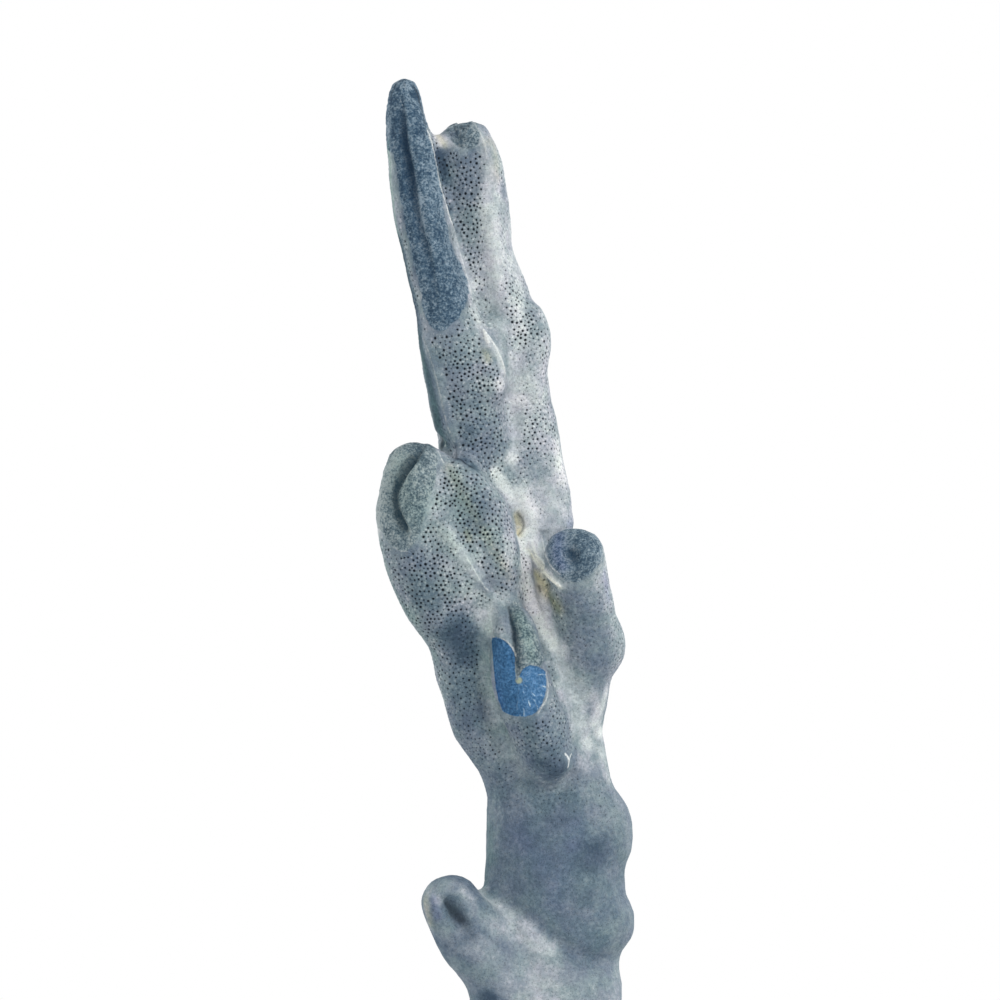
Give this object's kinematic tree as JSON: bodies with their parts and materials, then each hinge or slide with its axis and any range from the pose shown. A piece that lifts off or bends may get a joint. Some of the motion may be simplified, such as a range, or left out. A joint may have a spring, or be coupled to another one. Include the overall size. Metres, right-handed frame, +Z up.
{
  "type": "blue ridge coral",
  "caption": "Upright branch of blue coral with ridged, blade-like growing tips and rounded side lobes, cut off flat at its foot.",
  "frame": {"origin": "middle of the flat cut at the foot", "axes": "+Z up along the branch, +X to the right seen from the front, +Y from the front towards the back"},
  "size_m": [0.0644, 0.0409, 0.2504],
  "materials": {
    "stem": "matt porous grey-blue coral",
    "tall_blade": "matt striated blue coral",
    "back_finger": "matt porous pale grey coral",
    "right_finger": "matt porous grey-blue coral",
    "front_lobe": "matt porous grey-blue coral with a fresh blue break",
    "left_lobe": "matt porous grey-blue coral",
    "lower_knob": "matt pale grey-blue coral"
  },
  "bodies": {
    "root": {"stem": "stem", "tall_blade": "tall_blade", "back_finger": "back_finger", "right_finger": "right_finger", "front_lobe": "front_lobe", "left_lobe": "left_lobe", "lower_knob": "lower_knob"}
  },
  "joints": []
}
